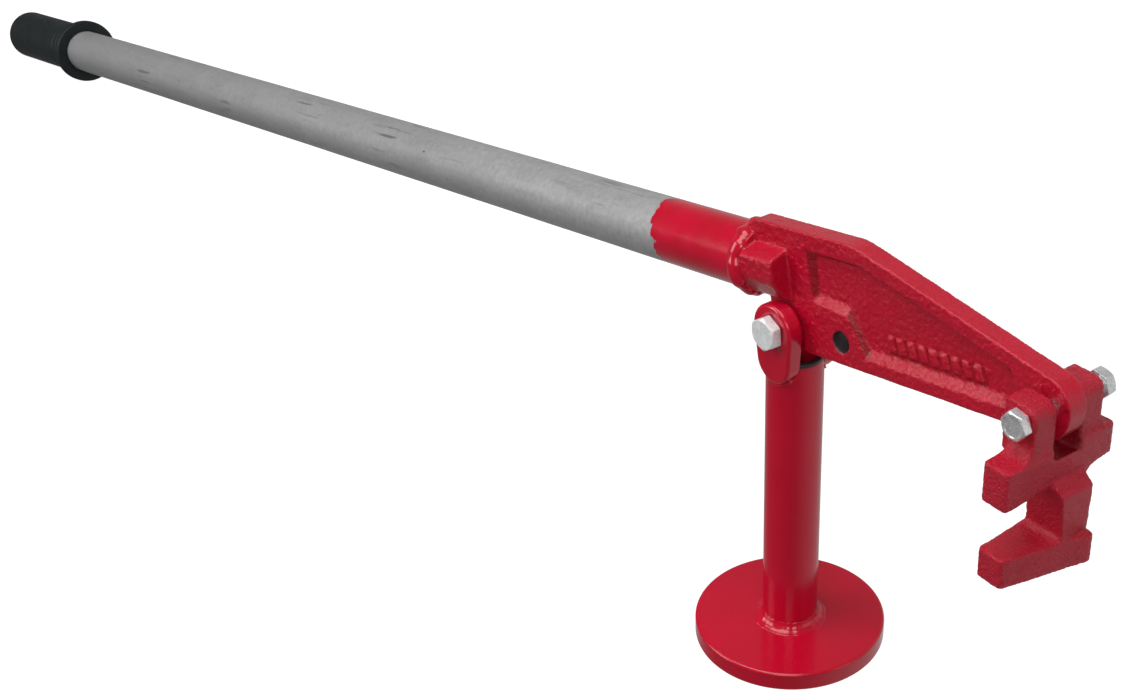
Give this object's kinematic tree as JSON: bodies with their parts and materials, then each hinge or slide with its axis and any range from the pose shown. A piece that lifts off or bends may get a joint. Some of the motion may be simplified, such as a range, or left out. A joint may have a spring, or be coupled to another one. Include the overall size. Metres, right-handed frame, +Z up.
{
  "type": "stake puller",
  "caption": "Long-handled lever stake puller on a round-footed tube stand, with a hinged jaw hanging at its nose to grip a stake.",
  "frame": {"origin": "centre of the round foot's underside, where the leg's axis meets the ground", "axes": "+X along the lever from the handle towards the jaw, +Z up, +Y across the lever along the bolts, away from their heads"},
  "size_m": [1.4169, 0.116, 0.2887],
  "materials": {
    "red_paint": "gloss red enamel on smooth steel",
    "red_cast": "gloss red enamel over rough cast iron",
    "zinc_plate": "bright zinc plate",
    "galvanised_pipe": "dull galvanised, scuffed",
    "black_rubber": "satin black"
  },
  "bodies": {
    "stand": {"base_plate": "red_paint", "base_weld": "red_paint", "leg_tube": "red_paint", "near_ear": "red_paint", "far_ear": "red_paint", "near_ear_weld": "red_paint", "far_ear_weld": "red_paint", "pivot_bolt": "zinc_plate", "pivot_nut": "zinc_plate"},
    "lever": {"lever_casting": "red_cast", "handle_weld": "red_paint", "handle_pipe": "galvanised_pipe", "handle_grip": "black_rubber"},
    "jaw": {"jaw_casting": "red_cast", "jaw_bolt": "zinc_plate", "jaw_nut": "zinc_plate"}
  },
  "joints": [
    {"name": "lever_pivot", "type": "hinge", "parent": "stand", "child": "lever", "pos_m": [0, 0, 0.2195], "axis": [0, 1, 0], "range_deg": [0, 27]},
    {"name": "jaw_swing", "type": "hinge", "parent": "lever", "child": "jaw", "pos_m": [0.19118, 0, 0.25953], "axis": [0, 1, 0], "range_deg": [-90, 12]}
  ]
}
